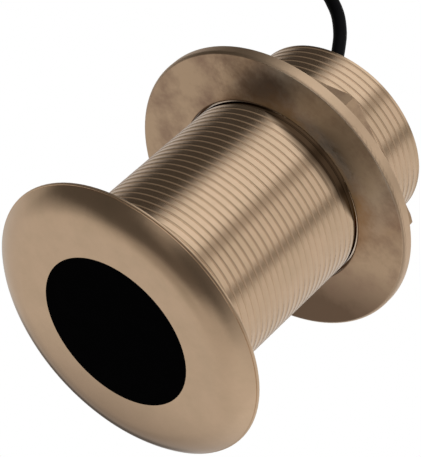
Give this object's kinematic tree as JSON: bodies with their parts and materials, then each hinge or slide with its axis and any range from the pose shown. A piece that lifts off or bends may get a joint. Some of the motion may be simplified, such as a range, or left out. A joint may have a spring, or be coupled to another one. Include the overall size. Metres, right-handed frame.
{
  "type": "sonar transducer",
  "caption": "Bronze through-hull sonar transducer: domed flange with a black acoustic window, threaded stem, flanged hull nut, and a coiled cable that ends in a round connector.",
  "frame": {"origin": "centre of the wet face, on the stem's axis", "axes": "+Z along the stem, from the wet face to the cable; -X towards the cable's coil"},
  "size_m": [0.2146, 0.1085, 0.1214],
  "materials": {
    "bronze": "satin cast and turned bronze",
    "urethane": "smooth black",
    "piezo": "silvered ceramic",
    "cork": "pressed cork",
    "ferrite": "ground ferrite",
    "copper": "enamelled wire",
    "board": "solder mask",
    "component": "dipped coating",
    "bobbin": "moulded",
    "lead_wire": "insulated wire",
    "epoxy": "cast",
    "cap_plastic": "moulded, fine texture",
    "seal_rubber": "moulded rubber",
    "cable_jacket": "satin jacket",
    "tie_nylon": "moulded nylon",
    "connector_plastic": "moulded",
    "contact_gold": "gold plate",
    "clip_steel": "spring steel"
  },
  "bodies": {
    "housing": {"housing": "bronze", "acoustic_window": "urethane", "ceramic_disc": "piezo", "cork_sleeve": "cork", "cork_backing": "cork", "signal_leads": "lead_wire", "transformer_core_lower": "ferrite", "transformer_core_upper": "ferrite", "transformer_bobbin": "bobbin", "transformer_winding": "copper", "transformer_leads": "copper", "circuit_board": "board", "tuning_capacitor": "component", "board_resistors": "component", "cable_leads": "lead_wire", "potting": "epoxy", "end_cap": "cap_plastic", "cap_seal": "seal_rubber", "strain_relief": "seal_rubber", "cable_tube": "cable_jacket", "cable_coil": "cable_jacket", "coil_ties": "tie_nylon", "cable_tail": "cable_jacket", "connector_boot": "seal_rubber", "connector_shell": "connector_plastic", "contact_insert": "connector_plastic", "contact_pins": "contact_gold", "retaining_clip": "clip_steel", "connector_seal": "seal_rubber"},
    "hull_nut": {"hull_nut": "bronze"},
    "coupling_ring": {"coupling_ring": "connector_plastic"}
  },
  "joints": [
    {"name": "hull_nut_turn", "type": "hinge", "parent": "housing", "child": "hull_nut", "pos_m": [0, 0, 0.066], "axis": [0, 0, 1], "continuous": true},
    {"name": "coupling_ring_turn", "type": "hinge", "parent": "housing", "child": "coupling_ring", "pos_m": [-0.051, 0.0596, 0.0095], "axis": [1, 0, 0], "continuous": true}
  ]
}
